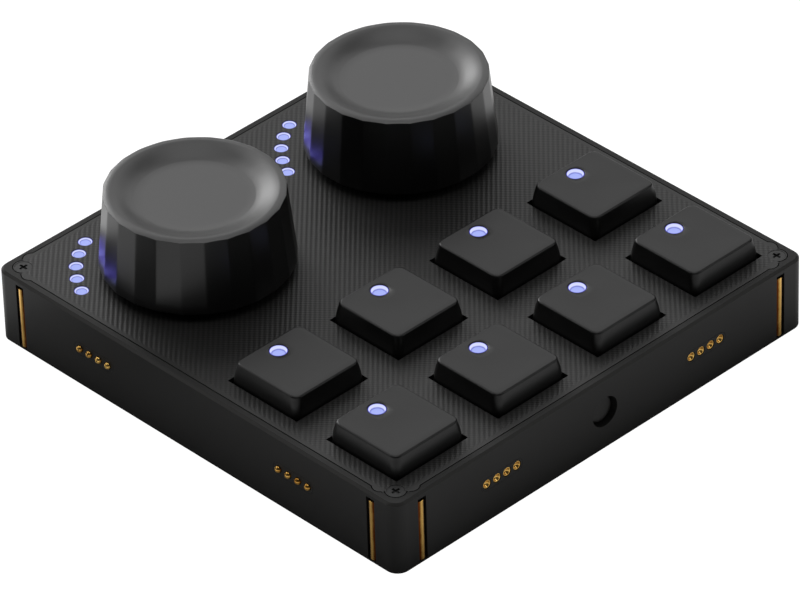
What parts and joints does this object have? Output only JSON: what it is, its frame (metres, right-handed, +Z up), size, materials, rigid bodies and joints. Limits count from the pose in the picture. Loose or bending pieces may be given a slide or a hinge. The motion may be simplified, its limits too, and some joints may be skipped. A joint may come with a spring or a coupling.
{
  "type": "macro keypad",
  "caption": "Square desk keypad with lit square keys, two faceted push-and-turn knobs with light arcs, a side button, and magnets and sprung contacts for docking.",
  "frame": {"origin": "on the desk under the middle of the case", "axes": "+Z up, -Y towards the user, +X to the user's right; the round button is on the -Y face"},
  "size_m": [0.1067, 0.1067, 0.0334],
  "materials": {
    "case_plastic": "fine matt black",
    "plate_grain": "matt black with a fine square grain",
    "key_plastic": "satin black",
    "knob_plastic": "satin to gloss black",
    "button_plastic": "satin black",
    "light_lens": "frosted, lit blue-white from below",
    "gold": "gold plated",
    "black_steel": "black oxide",
    "plated_steel": "nickel plated",
    "spring_steel": "drawn wire",
    "foot_rubber": "matt",
    "board_green": "solder mask",
    "chip_black": "moulded",
    "housing_black": "moulded",
    "plunger_plastic": "moulded acetal"
  },
  "bodies": {
    "case": {"case_body": "case_plastic", "top_plate": "plate_grain", "screws": "black_steel", "rubber_feet": "foot_rubber", "circuit_board": "board_green", "board_chips": "chip_black", "usb_socket": "plated_steel", "encoder_body_left": "plated_steel", "encoder_body_right": "plated_steel", "light_guide_left": "light_lens", "light_guide_right": "light_lens", "button_switch": "housing_black", "pin_blocks": "housing_black", "contact_blocks": "housing_black", "contact_cups": "gold", "magnet_rods": "gold", "switch_housings": "housing_black"},
    "key_1": {"keycap_1": "key_plastic", "key_window_1": "light_lens", "key_plunger_1": "plunger_plastic", "key_spring_1": "spring_steel"},
    "key_2": {"keycap_2": "key_plastic", "key_window_2": "light_lens", "key_plunger_2": "plunger_plastic", "key_spring_2": "spring_steel"},
    "key_3": {"keycap_3": "key_plastic", "key_window_3": "light_lens", "key_plunger_3": "plunger_plastic", "key_spring_3": "spring_steel"},
    "key_4": {"keycap_4": "key_plastic", "key_window_4": "light_lens", "key_plunger_4": "plunger_plastic", "key_spring_4": "spring_steel"},
    "key_5": {"keycap_5": "key_plastic", "key_window_5": "light_lens", "key_plunger_5": "plunger_plastic", "key_spring_5": "spring_steel"},
    "key_6": {"keycap_6": "key_plastic", "key_window_6": "light_lens", "key_plunger_6": "plunger_plastic", "key_spring_6": "spring_steel"},
    "key_7": {"keycap_7": "key_plastic", "key_window_7": "light_lens", "key_plunger_7": "plunger_plastic", "key_spring_7": "spring_steel"},
    "key_8": {"keycap_8": "key_plastic", "key_window_8": "light_lens", "key_plunger_8": "plunger_plastic", "key_spring_8": "spring_steel"},
    "pusher_left": {"encoder_pusher_left": "plunger_plastic"},
    "knob_left_turning": {"knob_left": "knob_plastic", "encoder_shaft_left": "plated_steel"},
    "pusher_right": {"encoder_pusher_right": "plunger_plastic"},
    "knob_right_turning": {"knob_right": "knob_plastic", "encoder_shaft_right": "plated_steel"},
    "button": {"front_button": "button_plastic"},
    "side_pins_front_moving": {"side_pins_front": "gold"},
    "side_pins_rear_moving": {"side_pins_rear": "gold"},
    "rear_pins_left_moving": {"rear_pins_left": "gold"},
    "rear_pins_right_moving": {"rear_pins_right": "gold"}
  },
  "joints": [
    {"name": "key_1_press", "type": "slide", "parent": "case", "child": "key_1", "axis": [0, 0, -1], "range_m": [0, 0.0028], "stiffness_N_per_m": 150, "springref_m": -0.0015, "deforming": ["key_spring_1"]},
    {"name": "key_2_press", "type": "slide", "parent": "case", "child": "key_2", "axis": [0, 0, -1], "range_m": [0, 0.0028], "stiffness_N_per_m": 150, "springref_m": -0.0015, "deforming": ["key_spring_2"]},
    {"name": "key_3_press", "type": "slide", "parent": "case", "child": "key_3", "axis": [0, 0, -1], "range_m": [0, 0.0028], "stiffness_N_per_m": 150, "springref_m": -0.0015, "deforming": ["key_spring_3"]},
    {"name": "key_4_press", "type": "slide", "parent": "case", "child": "key_4", "axis": [0, 0, -1], "range_m": [0, 0.0028], "stiffness_N_per_m": 150, "springref_m": -0.0015, "deforming": ["key_spring_4"]},
    {"name": "key_5_press", "type": "slide", "parent": "case", "child": "key_5", "axis": [0, 0, -1], "range_m": [0, 0.0028], "stiffness_N_per_m": 150, "springref_m": -0.0015, "deforming": ["key_spring_5"]},
    {"name": "key_6_press", "type": "slide", "parent": "case", "child": "key_6", "axis": [0, 0, -1], "range_m": [0, 0.0028], "stiffness_N_per_m": 150, "springref_m": -0.0015, "deforming": ["key_spring_6"]},
    {"name": "key_7_press", "type": "slide", "parent": "case", "child": "key_7", "axis": [0, 0, -1], "range_m": [0, 0.0028], "stiffness_N_per_m": 150, "springref_m": -0.0015, "deforming": ["key_spring_7"]},
    {"name": "key_8_press", "type": "slide", "parent": "case", "child": "key_8", "axis": [0, 0, -1], "range_m": [0, 0.0028], "stiffness_N_per_m": 150, "springref_m": -0.0015, "deforming": ["key_spring_8"]},
    {"name": "knob_left_push", "type": "slide", "parent": "case", "child": "pusher_left", "axis": [0, 0, -1], "range_m": [0, 0.0005], "stiffness_N_per_m": 3000, "springref_m": -0.0003},
    {"name": "knob_left_turn", "type": "hinge", "parent": "pusher_left", "child": "knob_left_turning", "pos_m": [-0.0263, 0.0264, 0], "axis": [0, 0, 1], "continuous": true},
    {"name": "knob_right_push", "type": "slide", "parent": "case", "child": "pusher_right", "axis": [0, 0, -1], "range_m": [0, 0.0005], "stiffness_N_per_m": 3000, "springref_m": -0.0003},
    {"name": "knob_right_turn", "type": "hinge", "parent": "pusher_right", "child": "knob_right_turning", "pos_m": [0.0263, 0.0264, 0], "axis": [0, 0, 1], "continuous": true},
    {"name": "button_press", "type": "slide", "parent": "case", "child": "button", "axis": [0, 1, 0], "range_m": [0, 0.0006], "stiffness_N_per_m": 1500, "springref_m": -0.0002},
    {"name": "side_pins_front_press", "type": "slide", "parent": "case", "child": "side_pins_front_moving", "axis": [1, 0, 0], "range_m": [0, 0.0007], "stiffness_N_per_m": 800, "springref_m": -0.0002},
    {"name": "side_pins_rear_press", "type": "slide", "parent": "case", "child": "side_pins_rear_moving", "axis": [1, 0, 0], "range_m": [0, 0.0007], "stiffness_N_per_m": 800, "springref_m": -0.0002},
    {"name": "rear_pins_left_press", "type": "slide", "parent": "case", "child": "rear_pins_left_moving", "axis": [0, -1, 0], "range_m": [0, 0.0007], "stiffness_N_per_m": 800, "springref_m": -0.0002},
    {"name": "rear_pins_right_press", "type": "slide", "parent": "case", "child": "rear_pins_right_moving", "axis": [0, -1, 0], "range_m": [0, 0.0007], "stiffness_N_per_m": 800, "springref_m": -0.0002}
  ]
}
